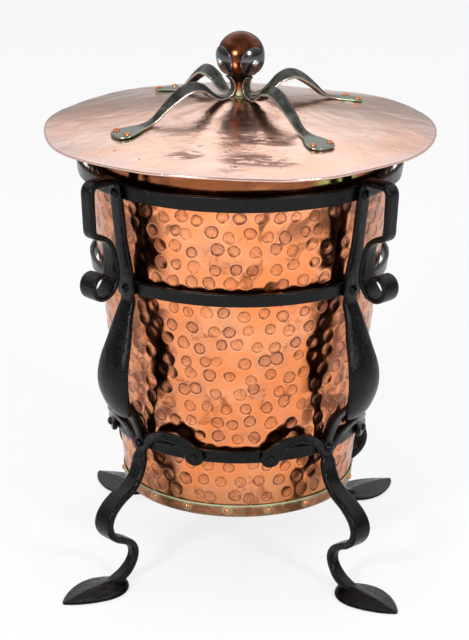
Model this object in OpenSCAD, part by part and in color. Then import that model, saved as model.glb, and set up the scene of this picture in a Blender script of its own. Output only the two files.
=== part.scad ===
// Coal bin: a tapered copper bucket standing in a forged iron cradle, with a lift-off
// lid whose handle is an octopus. Sizes in mm, +Z up, the front faces -Y.

/* [Cradle] */
// Outer radius of the bottom hoop at mid height, which the straps follow
hoop_low_r = 140; // [120:1:170]
// Height of the middle of the bottom hoop above the floor
hoop_low_z = 159.5; // [130:0.5:200]
// Height of the middle of the middle hoop
hoop_mid_z = 343.5; // [320:0.5:365]
// Height of the middle of the top hoop
hoop_top_z = 449.5; // [420:0.5:460]
// Growth of the cradle radius per mm of height
cradle_flare = 0.1255; // [0.11:0.0005:0.14]
// Thickness of the hoop bar
hoop_t = 5; // [4:0.5:7]
// Height of the bar of the top hoop
hoop_top_h = 17; // [12:0.5:20]
// Height of the bar of the two lower hoops
hoop_h = 15; // [12:0.5:18]
// Width of the upright bar and of the loop that it is bent into
bar_w = 15.5; // [12:0.5:20]
// Thickness of the upright where it lies on the hoops
bar_t = 6.5; // [5:0.5:8]
// Thickness of the bar in the loop
loop_t = 8; // [6:0.5:9]
// Radius that the outside of the loop reaches
loop_r = 222.5; // [215:0.5:230]
// Height of the top of the loop
loop_top_z = 467.3; // [465:0.1:470]
// Height of the lower corner of the loop, on the middle of the bar
loop_low_z = 409.5; // [405:0.5:420]
// Width of the rolled scroll at the end of the bar
scroll_w = 23; // [18:0.5:28]
// Widest part of the leaf at the lower end of the upright
spoon_w = 44; // [34:1:50]
// Width of the leaf at its cut lower end
spoon_end_w = 26; // [18:1:30]
// Radius that the tips of the feet reach
foot_reach = 254; // [240:1:270]
// Widest part of the leaf foot
foot_w = 54; // [40:1:60]
// Height of the ridge of the leaf foot
foot_h = 8.5; // [6:0.5:10]
// Width of the leg at its outer bend
leg_w = 25; // [20:1:30]
// Width of the leg at its inner bend
ankle_w = 13.5; // [11:0.5:18]
// Turn of the bottom hoop with its four legs against the upper cradle, seen from above
leg_turn = -2.5; // [-3:0.5:3]
// Width of the middle prong at the top of the leg
prong_w = 11.5; // [9:0.5:14]
// Thickness of the tip of the middle prong, which laps the back of the leaf
prong_tip_t = 4; // [3:0.5:6]
// Space between the back of the leaf and the tip that is welded to it
weld_gap = 0.3; // [0.3:0.05:0.5]
// Thickness of the side prongs and of their discs
branch_t = 6; // [4:0.5:7]
// Diameter of the riveted disc at the end of a side prong
disc_d = 22; // [18:1:26]
// Angle from the leg to the disc of each side prong
disc_a = 28.5; // [25:0.5:32]

/* [Bucket] */
// Outer radius of the bucket at its bottom edge
bin_low_r = 126.5; // [120:0.5:128]
// Height of the underside of the bucket
bin_low_z = 85; // [80:0.5:95]
// Growth of the bucket radius per mm of height
bin_flare = 0.108; // [0.1:0.001:0.115]
// Thickness of the copper sheet of the bucket and of the lid
sheet_t = 1.5; // [1:0.1:2]
// Thickness of the sheet of the base pan
base_t = 1.6; // [1.2:0.1:2.5]
// Height of the turned-up side of the base pan
base_h = 14.5; // [12:0.5:20]
// Diameter of the wire bead round the mouth
bead_d = 5; // [4:0.5:6]
// Number of rivets round the base pan
base_rivets_n = 18; // [12:1:24]
// Space between the bucket and the bottom hoop that it is wedged in
seat_gap = 0.3; // [0.2:0.05:0.5]

/* [Lid] */
// Radius of the lid
lid_r = 211; // [200:1:220]
// Height of the top face of the lid at its rim
lid_rim_z = 486.5; // [484:0.5:492]
// Fall of the lid per mm of radius
lid_slope = 0.1706; // [0.15:0.0002:0.19]
// Radius of the flat top of the lid below the handle
crown_r = 12; // [10:0.5:14]
// Space all round between the skirt below the lid and the bead of the mouth
skirt_gap = 2.9; // [1:0.1:5]
// Depth of the skirt below the underside of the lid
skirt_h = 25; // [16:1:32]
// Width of the flange that holds the skirt to the lid
flange_w = 11; // [6:0.5:11]

/* [Octopus handle] */
// Diameter of the head ball
ball_d = 50.8; // [44:0.2:54]
// Height of the centre of the head ball above the flat top of the lid
ball_rise = 44.6; // [40:0.1:50]
// Turn of the whole handle against the cradle, seen from above
handle_turn = -11; // [-20:1:20]
// Angle from the middle of the face to each eye
eye_a = 46; // [40:1:50]
// Angle of the eyes below the middle of the ball
eye_drop = 9; // [0:1:15]
// Radius of the round edge of an eye plate
eye_r = 15.8; // [12:0.2:18]
// Thickness of an eye plate
eye_t = 1.5; // [1:0.1:2]
// Diameter of the pupil stud
pupil_d = 6.6; // [5:0.2:8]
// Thickness of a tentacle where it lies on the lid
tent_t = 3; // [2:0.2:4]
// Width of a tentacle at the top of its arch
tent_w = 20; // [14:0.5:22]
// Width of a tentacle against the neck
tent_neck_w = 9; // [7:0.5:11]
// Width of the pad at the end of a tentacle
pad_w = 31; // [26:0.5:34]
// Radius of the rivets through the pads
pad_rivet_r = 148; // [144:0.5:150]
// Distance between the two rivets of a pad
pad_pitch = 21; // [16:0.5:22]
// Diameter of the rod that holds the handle to the lid
rod_d = 6; // [5:0.5:8]

/* [Rivets] */
// Head diameter of the cradle rivets
rivet_head = 10.5; // [8:0.5:12]
// Head height of the cradle rivets
rivet_rise = 3.8; // [2.5:0.1:5]
// Shank diameter of the cradle rivets
rivet_d = 5; // [4:0.5:6]
// Head diameter of the copper rivets of base and pads
stud_head = 6.4; // [5:0.2:8]
// Head height of the copper rivets
stud_rise = 2.4; // [1.5:0.1:3]
// Shank diameter of the copper rivets
stud_d = 3; // [2:0.2:4]
// Clearance round every shank
hole_gap = 0.05; // [0:0.01:0.1]
// Space left between faces that lie on each other
lay_gap = 0.05; // [0:0.01:0.1]

/* [Hidden] */
$fn = 64;
cone_a = atan(cradle_flare);
bin_a = atan(bin_flare);
lid_a = atan(lid_slope);
lid_apex = lid_rim_z + lid_slope * lid_r;
crown_z = lid_apex - lid_slope * crown_r;
corners = [-45, 45, 135, -135];
ball_r = ball_d / 2;
ball_z = crown_z + ball_rise;

// Outer radius of the cradle at height z
function cradle_r(z) = hoop_low_r + cradle_flare * (z - hoop_low_z);

// Outer radius of the bucket at height z
function bin_r(z) = bin_low_r + bin_flare * (z - bin_low_z);

// Height of the top face of the lid at radius r
function lid_top(r) = min(crown_z, lid_apex - lid_slope * r);

// Radius of the middle of a bar of thickness t that lies on the hoops at height z
function bar_r(z, t) = cradle_r(z) + (t / 2 + lay_gap) / cos(cone_a);

sheet_v = sheet_t / cos(lid_a);
bead_r = bin_r(lid_rim_z);
bead_z = lid_apex - lid_slope * bead_r - sheet_v - (bead_d / 2 + seat_gap) / cos(lid_a);
skirt_r = bin_r(bead_z) - sheet_t / 2 - bead_d / 2 - skirt_gap;

// A smooth line through points that carry a third value, n steps between two points
function curve(a, b, c, d, t) =
    0.5 * (2 * b + (c - a) * t + (2 * a - 5 * b + 4 * c - d) * t * t
    + (3 * b - 3 * c + d - a) * t * t * t);

function smooth(p, n) = concat(
    [for (i = [0 : len(p) - 2], j = [0 : n - 1])
        curve(p[max(i - 1, 0)], p[i], p[i + 1], p[min(i + 2, len(p) - 1)], j / n)],
    [p[len(p) - 1]]);

// A rounded corner at p between the lines to a and b
function toward(p, q, r) = p + (q - p) * r / norm([q[0] - p[0], q[1] - p[1]]);

function bend(a, p, b, r, n) = [for (j = [0 : n])
    let (u = j / n)
    toward(p, a, r) * (1 - u) * (1 - u) + 2 * p * u * (1 - u) + toward(p, b, r) * u * u];

// One side of a bar whose middle line is p, the third value being its thickness
function edge_line(p, s) = [for (i = [0 : len(p) - 1])
    let (a = p[max(i - 1, 0)], b = p[min(i + 1, len(p) - 1)])
    let (d = [b[0] - a[0], b[1] - a[1]])
    [p[i][0], p[i][1]] + s * [-d[1], d[0]] / norm(d) * p[i][2] / 2];

function back(p) = [for (i = [len(p) - 1 : -1 : 0]) p[i]];

module bar_shape(p) {
    polygon(concat(edge_line(p, 1), back(edge_line(p, -1))));
}

// A bar bent in the plane of radius and height, w wide
module bent_bar(p, w) {
    rotate([90, 0, 0])
        translate([0, 0, -w / 2])
            linear_extrude(w) bar_shape(p);
}

// An outline of height against half width, drawn facing outwards from radius r0
module front_cut(p, r0, depth) {
    translate([r0, 0, 0])
        rotate([90, 0, 90])
            linear_extrude(depth)
                polygon(concat([for (q = p) [q[1], q[0]]], [for (q = back(p)) [-q[1], q[0]]]));
}

// An outline of radius against half width, drawn facing up from height z0
module plan_cut(p, z0, depth) {
    translate([0, 0, z0])
        linear_extrude(depth)
            polygon(concat([for (q = p) [q[0], q[1]]], [for (q = back(p)) [q[0], -q[1]]]));
}

module dome(d, h) {
    big = (d * d / 4 + h * h) / (2 * h);
    intersection() {
        translate([0, 0, h - big]) sphere(big);
        cylinder(d = d, h = h);
    }
}

// A rivet along +Z, its head sitting on z = 0 and its shank grip long below that
module rivet(head, rise, shank, grip) {
    dome(head, rise);
    translate([0, 0, -grip]) cylinder(d = shank, h = grip);
}

// Places children on the cradle face at height z, their +Z pointing out of it
module on_cradle(z, lift = 0) {
    translate([cradle_r(z), 0, z])
        rotate([0, 90 + cone_a, 0])
            translate([0, 0, lift]) children();
}

module on_lid(r, y, turn) {
    rotate([0, 0, turn])
        translate([r, y, lid_top(r)])
            rotate([0, lid_a, 0]) children();
}

// Cradle

module hoop(z, h, colour) {
    color(colour)
        difference() {
            rotate_extrude()
                polygon([
                    [cradle_r(z - h / 2) - hoop_t, z - h / 2],
                    [cradle_r(z - h / 2), z - h / 2],
                    [cradle_r(z + h / 2), z + h / 2],
                    [cradle_r(z + h / 2) - hoop_t, z + h / 2]]);
            for (a = corners)
                rotate([0, 0, a])
                    on_cradle(z, -15) cylinder(d = rivet_d + 2 * hole_gap, h = 30);
        }
}

module hoop_top() {
    hoop(hoop_top_z, hoop_top_h, "#1c1d20");
}

module hoop_middle() {
    hoop(hoop_mid_z, hoop_h, "#1c1d20");
}

module hoop_bottom() {
    low = hoop_low_z - hoop_h / 2;
    high = hoop_low_z + hoop_h / 2;
    color("#1c1d20")
        difference() {
            rotate_extrude()
                polygon([
                    [bin_r(low) + seat_gap, low],
                    [cradle_r(low), low],
                    [cradle_r(high), high],
                    [bin_r(high) + seat_gap, high]]);
            for (a = corners, b = [-disc_a, 0, disc_a])
                rotate([0, 0, a + leg_turn + b])
                    on_cradle(hoop_low_z, -15) cylinder(d = rivet_d + 2 * hole_gap, h = 30);
        }
}

// Middle line of the upright from the leaf at its lower end to the top hoop
function upright_line() = concat(
    smooth([
        [174.5, 203, 5],
        [180.5, 215, 5.5],
        [185.8, 232, 6],
        [187.2, 248, 6],
        [184.6, 265, 6],
        [177.6, 287, 6.2],
        [170.4, 312, bar_t],
        [bar_r(hoop_mid_z - hoop_h / 2 - 9, bar_t) + 0.35, hoop_mid_z - hoop_h / 2 - 9, bar_t],
        [bar_r(hoop_mid_z - hoop_h / 2 - 1, bar_t), hoop_mid_z - hoop_h / 2 - 1, bar_t]], 4),
    [[bar_r(450, bar_t), 450, bar_t]]);

// Middle line of the loop and the scroll, from the top hoop to the rolled end
function loop_line() =
    let (
        start = [bar_r(450, bar_t), 450, bar_t],
        top = loop_top_z - loop_t / 2,
        out = loop_r - loop_t / 2,
        knee = [bar_r(top, bar_t), top, bar_t + 0.5],
        shoulder = [out, top, loop_t],
        elbow = [out - 2.8, loop_low_z, loop_t - 1])
    concat(
        [start],
        bend(start, knee, shoulder, 9, 6),
        bend(knee, shoulder, elbow, 10, 6),
        bend(shoulder, elbow, [201.5, 404.8, 6], 6, 4),
        smooth([
            [207.5, 407, 6.4],
            [200, 403.8, 6],
            [192, 396.3, 5.8],
            [188.2, 383, 5.6],
            [187, 367, 5.4],
            [189, 354, 5.2],
            [196.5, 344.6, 5],
            [208, 341.2, 5],
            [216.6, 345.6, 5],
            [219.6, 355, 5],
            [215.8, 363.4, 5],
            [207.6, 366.2, 4.8],
            [200.4, 362.2, 4.4]], 4));

module upright(a) {
    color("#1f2023")
        rotate([0, 0, a])
            difference() {
                union() {
                    intersection() {
                        bent_bar(upright_line(), 60);
                        front_cut(smooth([
                            [198, spoon_end_w / 2 - 1.8],
                            [203.5, spoon_end_w / 2],
                            [212, spoon_w * 0.39],
                            [228, spoon_w * 0.475],
                            [246, spoon_w / 2],
                            [264, spoon_w * 0.475],
                            [288, spoon_w * 0.38],
                            [312, spoon_w * 0.27],
                            [332, bar_w / 2 + 1],
                            [342, bar_w / 2],
                            [460, bar_w / 2]], 4), 140, 100);
                    }
                    intersection() {
                        bent_bar(loop_line(), 60);
                        front_cut(concat(
                            smooth([
                                [330, scroll_w / 2],
                                [362, scroll_w / 2],
                                [374, scroll_w / 2 - 1.2],
                                [396, bar_w / 2],
                                [410, bar_w / 2]], 4),
                            [[480, bar_w / 2]]), 170, 80);
                    }
                }
                for (z = [hoop_mid_z, hoop_top_z])
                    on_cradle(z, -5) cylinder(d = rivet_d + 2 * hole_gap, h = 25);
            }
}

module upright_front_right() {
    upright(-45);
}

module upright_rear_right() {
    upright(45);
}

module upright_rear_left() {
    upright(135);
}

module upright_front_left() {
    upright(-135);
}

// Middle line of the tip of the prong, laid along the back of the leaf
function prong_lap() =
    let (p = upright_line(), q = edge_line(p, 1))
    [for (i = [4 : 7])
        let (n = (q[i] - [p[i][0], p[i][1]]) / norm(q[i] - [p[i][0], p[i][1]]))
        let (m = q[i] + n * (prong_tip_t / 2 + weld_gap))
        [m[0], m[1], prong_tip_t]];

// Middle line of the leg from the tip of its middle prong down to the foot
function leg_line() =
    let (
        lap = prong_lap(),
        high = hoop_low_z + hoop_h / 2 + 1,
        low = hoop_low_z - hoop_h / 2 - 1)
    concat([lap[3], lap[2], lap[1]], smooth([
        lap[0],
        [171, 211.5, 4.8],
        [163, 203.5, 5.4],
        [155.6, 194.5, 5.8],
        [150.2, 184, 6],
        [146.3, 174, 6],
        [bar_r(high, 6), high, 6]], 3), smooth([
        [bar_r(low, 6), low, 6],
        [143.8, 142.5, 6.6],
        [147, 130, 7],
        [152.8, 118.6, 7.4],
        [163, 109.2, 8],
        [176.5, 102, 8.5],
        [189, 91.8, 8.5],
        [195, 79.5, 8.5],
        [193, 68, 8.5],
        [184.5, 59, 8.2],
        [172.5, 53, 8],
        [161.6, 46.4, 8],
        [155.6, 37.6, 8],
        [155.6, 27.8, 8],
        [161, 18, 8],
        [170, 10.6, 7.5],
        [184, 5.4, 6]], 3));

// Arch of a side prong, across the leg against height, ending at the middle of its disc
function branch_line() = smooth([
    [-35.8, 141, 9],
    [-32.6, 149, 9.5],
    [-25.5, 160.5, 10],
    [-15, 171, 10.5],
    [-1, 177.6, 11.5],
    [13, 178.4, 13.5],
    [26, 172.4, 16],
    [tan(disc_a / 2) * cradle_r(hoop_low_z), hoop_low_z, 18]], 4);

module branch(side) {
    disc_x = tan(disc_a / 2) * cradle_r(hoop_low_z);
    intersection() {
        rotate_extrude()
            polygon([
                [cradle_r(128) + lay_gap, 128],
                [cradle_r(169) + lay_gap, 169],
                [cradle_r(180) + 3.5, 180],
                [cradle_r(192) + 9, 192],
                [cradle_r(192) + 9 + branch_t, 192],
                [cradle_r(180) + 3.5 + branch_t, 180],
                [cradle_r(169) + lay_gap + branch_t, 169],
                [cradle_r(128) + lay_gap + branch_t, 128]]);
        rotate([0, 0, side * disc_a / 2])
            translate([110, 0, 0])
                rotate([90, 0, 90])
                    linear_extrude(70)
                        mirror([side < 0 ? 1 : 0, 0, 0])
                            union() {
                                bar_shape(branch_line());
                                translate([disc_x, hoop_low_z]) circle(d = disc_d);
                            }
    }
}

module leaf_foot() {
    intersection() {
        plan_cut(smooth([
            [167, 4],
            [170, 10.5],
            [178.5, foot_w * 0.36],
            [190, foot_w * 0.47],
            [204, foot_w * 0.5],
            [220, foot_w * 0.43],
            [236, foot_w * 0.29],
            [248, foot_w * 0.13],
            [foot_reach, 0.8]], 4), 0, 12);
        rotate([90, 0, 90])
            linear_extrude(300)
                polygon([[-32, 0], [32, 0], [32, 2.6], [0, foot_h], [-32, 2.6]]);
        rotate([90, 0, 0])
            translate([0, 0, -40])
                linear_extrude(80)
                    polygon([[150, 0], [foot_reach + 1, 0], [foot_reach + 1, 2.2], [222, 7.4], [150, 12]]);
    }
}

module leg(a) {
    color("#232427")
        rotate([0, 0, a + leg_turn])
            difference() {
                union() {
                    intersection() {
                        bent_bar(leg_line(), 60);
                        front_cut(smooth([
                            [0.2, ankle_w / 2 + 2],
                            [12, ankle_w / 2 + 1],
                            [24, ankle_w / 2],
                            [40, ankle_w / 2],
                            [52, ankle_w / 2 + 2.5],
                            [64, leg_w / 2 - 1],
                            [78, leg_w / 2],
                            [94, leg_w / 2 - 0.5],
                            [106, leg_w / 2 - 1.4],
                            [118, leg_w / 2 - 2.4],
                            [132, leg_w / 2 - 2.6],
                            [143, leg_w / 2 - 2.8],
                            [150, prong_w / 2 + 0.6],
                            [170, prong_w / 2],
                            [200, prong_w / 2 + 0.6],
                            [236, prong_w / 2]], 3), 120, 90);
                    }
                    branch(1);
                    branch(-1);
                    leaf_foot();
                }
                for (b = [-disc_a, 0, disc_a])
                    rotate([0, 0, b])
                        on_cradle(hoop_low_z, -5) cylinder(d = rivet_d + 2 * hole_gap, h = 25);
                translate([0, 0, -20]) cube([600, 600, 40], center = true);
            }
}

module leg_front_right() {
    leg(-45);
}

module leg_rear_right() {
    leg(45);
}

module leg_rear_left() {
    leg(135);
}

module leg_front_left() {
    leg(-135);
}

module hoop_top_rivets() {
    color("#2a2b2e")
        for (a = corners)
            rotate([0, 0, a])
                on_cradle(hoop_top_z, bar_t + 2 * lay_gap)
                    rivet(rivet_head, rivet_rise, rivet_d, bar_t + hoop_t - 0.5);
}

module hoop_middle_rivets() {
    color("#2a2b2e")
        for (a = corners)
            rotate([0, 0, a])
                on_cradle(hoop_mid_z, bar_t + 2 * lay_gap)
                    rivet(rivet_head, rivet_rise, rivet_d, bar_t + hoop_t - 0.5);
}

module prong_rivets() {
    color("#2a2b2e")
        for (a = corners)
            rotate([0, 0, a + leg_turn])
                on_cradle(hoop_low_z, branch_t + 0.9)
                    rivet(rivet_head, rivet_rise, rivet_d, branch_t + hoop_t - 0.2);
}

module disc_rivets() {
    color("#2a2b2e")
        for (a = corners, b = [-disc_a, disc_a])
            rotate([0, 0, a + leg_turn + b])
                on_cradle(hoop_low_z, branch_t + 2 * lay_gap)
                    rivet(rivet_head * 0.8, rivet_rise * 0.8, rivet_d, branch_t + hoop_t - 1);
}

// Bucket

module bin_wall() {
    low = bin_low_z + base_t + lay_gap;
    color("#c9713f")
        difference() {
            rotate_extrude()
                polygon([
                    [bin_r(low) - sheet_t, low],
                    [bin_r(low), low],
                    [bin_r(bead_z), bead_z],
                    [bin_r(bead_z) - sheet_t, bead_z]]);
            base_bores();
        }
}

module bin_base() {
    high = bin_low_z + base_h;
    color("#8a5640")
        difference() {
            rotate_extrude()
                polygon([
                    [0, bin_low_z],
                    [bin_r(bin_low_z) + base_t, bin_low_z],
                    [bin_r(high) + base_t + lay_gap, high],
                    [bin_r(high) + lay_gap, high],
                    [bin_r(bin_low_z + base_t) + lay_gap, bin_low_z + base_t],
                    [0, bin_low_z + base_t]]);
            base_bores();
        }
}

// Places children on the outside of the base pan, their +Z pointing out of it
module round_base() {
    z = bin_low_z + base_h * 0.55;
    for (i = [0 : base_rivets_n - 1])
        rotate([0, 0, -90 + 360 / base_rivets_n * (i + 0.5) + 5])
            translate([bin_r(z) + lay_gap + base_t, 0, z])
                rotate([0, 90 + bin_a, 0]) children();
}

module base_bores() {
    round_base()
        translate([0, 0, -8]) cylinder(d = stud_d + 2 * hole_gap, h = 12);
}

module base_rivets() {
    color("#b0603a")
        round_base() {
            translate([0, 0, lay_gap])
                rivet(stud_head, stud_rise, stud_d, sheet_t + base_t + 3 * lay_gap + 0.6);
            translate([0, 0, -sheet_t - base_t - 2 * lay_gap])
                rotate([180, 0, 0]) dome(stud_d + 1.6, 1.2);
        }
}

module bin_bead() {
    color("#b8683c")
        rotate_extrude()
            difference() {
                translate([bin_r(bead_z) - sheet_t / 2, bead_z])
                    polygon([for (i = [0 : 19]) bead_d / 2 * [cos(18 * i + 9), sin(18 * i + 9)]]);
                polygon([
                    [bin_r(bead_z - 6) - sheet_t - lay_gap, bead_z - 6],
                    [bin_r(bead_z - 6) + lay_gap, bead_z - 6],
                    [bin_r(bead_z) + lay_gap, bead_z + lay_gap],
                    [bin_r(bead_z) - sheet_t - lay_gap, bead_z + lay_gap]]);
            }
}

// Lid

module lid_plate() {
    hem = 3;
    color("#c98d73")
        difference() {
            rotate_extrude()
                polygon([
                    [0, crown_z],
                    [crown_r, crown_z],
                    [lid_r, lid_rim_z],
                    [lid_r, lid_rim_z - sheet_v - 1.5],
                    [lid_r - hem, lid_rim_z + lid_slope * hem - sheet_v - 1.5],
                    [lid_r - hem, lid_rim_z + lid_slope * hem - sheet_v],
                    [crown_r, crown_z - sheet_v],
                    [0, crown_z - sheet_v]]);
            translate([0, 0, crown_z - 10]) cylinder(d = rod_d + 0.4, h = 20);
            pad_bores();
        }
}

module lid_skirt() {
    under = lid_apex - sheet_v - 0.1;
    color("#b07a5c")
        rotate_extrude()
            polygon([
                [skirt_r - sheet_t, under - lid_slope * skirt_r - skirt_h],
                [skirt_r, under - lid_slope * skirt_r - skirt_h],
                [skirt_r, under - lid_slope * skirt_r],
                [skirt_r - flange_w, under - lid_slope * (skirt_r - flange_w)],
                [skirt_r - flange_w, under - lid_slope * (skirt_r - flange_w) - sheet_v],
                [skirt_r - sheet_t, under - lid_slope * (skirt_r - sheet_t) - sheet_v]]);
}

module pad_holes(d) {
    for (a = corners, y = [-pad_pitch / 2, pad_pitch / 2])
        on_lid(pad_rivet_r, y, a + handle_turn)
            translate([0, 0, -6]) cylinder(d = d, h = 16);
}

module pad_bores() {
    pad_holes(stud_d + 2 * hole_gap);
}

function tent_pad(r) = [r, lid_top(r) + (tent_t / 2 + lay_gap) / cos(lid_a), tent_t];

// A point of a tentacle at radius r, h above the lid
function tent_at(r, h, t = tent_t) = [r, lid_top(r) + h, t];

// Middle line of a tentacle from the head down the neck, over its arch and along the lid
function tent_line() = concat(
    smooth([
        tent_at(16.4, ball_rise - 20.3, 1.8),
        tent_at(11.4, 18, 2.2),
        tent_at(9.4, 12, 2.4),
        tent_at(10.4, 6.6, 2.6),
        tent_at(14.8, 2.9, 2.8),
        tent_at(22, 2.3),
        tent_at(30, 5.4),
        tent_at(38.5, 12.5),
        tent_at(48, 21.7),
        tent_at(60, 27.7),
        tent_at(72, 27.8),
        tent_at(85, 22.4),
        tent_at(98, 14.2),
        tent_at(109, 5.9),
        tent_at(118, 2.6),
        tent_pad(128),
        tent_pad(136)], 3),
    [tent_pad(162)]);

module tentacle(a) {
    color("#5f605e")
        difference() {
            rotate([0, 0, a + handle_turn])
                intersection() {
                    bent_bar(tent_line(), 50);
                    plan_cut(smooth([
                        [5, tent_neck_w / 2],
                        [22, tent_neck_w / 2],
                        [38, tent_w * 0.4],
                        [60, tent_w / 2],
                        [84, tent_w * 0.43],
                        [108, tent_w * 0.3],
                        [122, tent_w * 0.36],
                        [132, pad_w * 0.36],
                        [142, pad_w * 0.485],
                        [150, pad_w * 0.49],
                        [156, pad_w * 0.34],
                        [159, 0.5]], 4), lid_rim_z - 10, 90);
                }
            pad_bores();
        }
}

module tentacle_front_right() {
    tentacle(-45);
}

module tentacle_rear_right() {
    tentacle(45);
}

module tentacle_rear_left() {
    tentacle(135);
}

module tentacle_front_left() {
    tentacle(-135);
}

module tentacle_rivets() {
    color("#b4552c")
        for (a = corners, y = [-pad_pitch / 2, pad_pitch / 2])
            on_lid(pad_rivet_r, y, a + handle_turn) {
                translate([0, 0, tent_t + 3 * lay_gap])
                    rivet(stud_head, stud_rise, stud_d, tent_t + sheet_t + 0.7);
                translate([0, 0, -sheet_t - 0.1])
                    rotate([180, 0, 0]) dome(stud_d + 1.8, 1.2);
            }
}

// Turns children so that their +Z points out of the ball at an eye
module at_eye(side) {
    translate([0, 0, ball_z])
        rotate([0, 0, -90 + handle_turn + side * eye_a])
            rotate([0, 90 + eye_drop, 0]) children();
}

module octopus_head() {
    color("#5a2d1e")
        difference() {
            union() {
                translate([0, 0, ball_z]) sphere(ball_r);
                rotate_extrude()
                    polygon(concat(
                        [[0, crown_z + 1.3], [9.4, crown_z + 1.3]],
                        [for (q = smooth([
                            [9.2, crown_z + 2],
                            [8.1, crown_z + 7.1],
                            [7.8, crown_z + 12.6],
                            [9.4, crown_z + 17.8],
                            [12.8, ball_z - 22.6],
                            [16.4, ball_z - 16.4]], 4)) [q[0], q[1]]],
                        [[0, ball_z - 10]]));
            }
            translate([0, 0, crown_z]) cylinder(d = rod_d + 2 * hole_gap, h = ball_rise - 17);
            for (s = [-1, 1])
                at_eye(s)
                    translate([0, 0, 17]) cylinder(d = 2.5 + 2 * hole_gap, h = 20);
        }
}

module eye(side) {
    color("#74767a")
        at_eye(side)
            difference() {
                intersection() {
                    difference() {
                        sphere(ball_r + eye_t + lay_gap);
                        sphere(ball_r + lay_gap);
                    }
                    cylinder(r = eye_r, h = 40);
                }
                cylinder(d = 2.5 + 2 * hole_gap, h = 60);
            }
}

module eye_left() {
    eye(-1);
}

module eye_right() {
    eye(1);
}

module pupil(side) {
    color("#9a9c9f")
        at_eye(side)
            translate([0, 0, ball_r + eye_t + 2 * lay_gap + 0.1])
                rivet(pupil_d, 2.6, 2.5, 9);
}

module pupil_left() {
    pupil(-1);
}

module pupil_right() {
    pupil(1);
}

module neck_washer() {
    color("#7d8450")
        difference() {
            translate([0, 0, crown_z + lay_gap]) cylinder(r = crown_r - 0.2, h = 1.2);
            translate([0, 0, crown_z - 5]) cylinder(d = rod_d + 0.4, h = 20);
        }
}

module handle_rod() {
    color("#6d6e70")
        translate([0, 0, crown_z - 13]) cylinder(d = rod_d, h = 13 + ball_rise - 19.6);
}

module rod_washer() {
    color("#6d6e70")
        difference() {
            translate([0, 0, crown_z - sheet_v - 1.3 - lay_gap]) cylinder(d = 18, h = 1.3);
            translate([0, 0, crown_z - 20]) cylinder(d = rod_d + 0.4, h = 30);
        }
}

module rod_nut() {
    color("#6d6e70")
        difference() {
            translate([0, 0, crown_z - sheet_v - 1.3 - 2 * lay_gap - 5])
                cylinder(d = 10 / cos(30), h = 5, $fn = 6);
            translate([0, 0, crown_z - 20]) cylinder(d = rod_d + 2 * hole_gap, h = 30);
        }
}

hoop_top();
hoop_middle();
hoop_bottom();
upright_front_left();
upright_front_right();
upright_rear_left();
upright_rear_right();
leg_front_left();
leg_front_right();
leg_rear_left();
leg_rear_right();
hoop_top_rivets();
hoop_middle_rivets();
prong_rivets();
disc_rivets();
bin_wall();
bin_base();
bin_bead();
base_rivets();
lid_plate();
lid_skirt();
tentacle_front_left();
tentacle_front_right();
tentacle_rear_left();
tentacle_rear_right();
tentacle_rivets();
octopus_head();
eye_left();
eye_right();
pupil_left();
pupil_right();
neck_washer();
handle_rod();
rod_washer();
rod_nut();
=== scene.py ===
# Coal bin: hammered copper bucket, forged iron cradle, and a lid with an octopus handle.
# Lengths in the making of each piece are in mm, and the finished meshes are in metres.
import math

import bpy
import bmesh
import numpy as np
from mathutils import Matrix, Vector, kdtree, noise

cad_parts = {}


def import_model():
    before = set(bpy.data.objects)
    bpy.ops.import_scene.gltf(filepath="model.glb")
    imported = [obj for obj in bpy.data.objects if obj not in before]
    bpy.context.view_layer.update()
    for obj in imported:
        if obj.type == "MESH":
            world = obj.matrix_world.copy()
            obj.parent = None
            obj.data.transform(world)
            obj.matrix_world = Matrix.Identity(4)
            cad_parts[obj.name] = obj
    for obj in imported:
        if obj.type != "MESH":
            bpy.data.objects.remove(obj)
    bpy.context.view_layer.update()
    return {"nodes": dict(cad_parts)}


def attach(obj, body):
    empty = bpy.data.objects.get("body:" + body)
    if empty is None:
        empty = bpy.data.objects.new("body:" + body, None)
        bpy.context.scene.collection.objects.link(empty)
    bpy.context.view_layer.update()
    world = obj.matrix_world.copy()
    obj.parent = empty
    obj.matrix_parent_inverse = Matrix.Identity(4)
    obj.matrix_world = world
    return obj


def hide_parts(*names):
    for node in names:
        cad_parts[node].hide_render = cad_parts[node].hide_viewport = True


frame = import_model()

CORNERS = {"front_right": -45, "rear_right": 45, "rear_left": 135, "front_left": -135}
HOOP_LOW_R, HOOP_LOW_Z, HOOP_MID_Z, HOOP_TOP_Z = 140, 159.5, 343.5, 449.5
CRADLE_FLARE, HOOP_T = 0.1255, 5
BAR_W, BAR_T, LOOP_T = 15.5, 6.5, 8
LEG_TURN, DISC_A = -2.5, 28.5
BIN_LOW_R, BIN_LOW_Z, BIN_FLARE = 126.5, 85, 0.108
SHEET_T, BASE_T, BASE_H = 1.5, 1.6, 14.5
LID_R, LID_RIM_Z, LID_SLOPE, CROWN_R = 211, 486.5, 0.1706, 12
LID_APEX = LID_RIM_Z + LID_SLOPE * LID_R
CROWN_Z = LID_APEX - LID_SLOPE * CROWN_R
BALL_R, BALL_Z = 25.4, CROWN_Z + 44.6
HANDLE_TURN = -11


def cradle_r(z):
    return HOOP_LOW_R + CRADLE_FLARE * (z - HOOP_LOW_Z)


def bin_r(z):
    return BIN_LOW_R + BIN_FLARE * (z - BIN_LOW_Z)


def lid_top(r):
    return np.minimum(CROWN_Z, LID_APEX - LID_SLOPE * r)


def bar_r(z, t):
    return cradle_r(z) + (t / 2 + 0.05) / math.cos(math.atan(CRADLE_FLARE))


# Smooth lines

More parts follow.
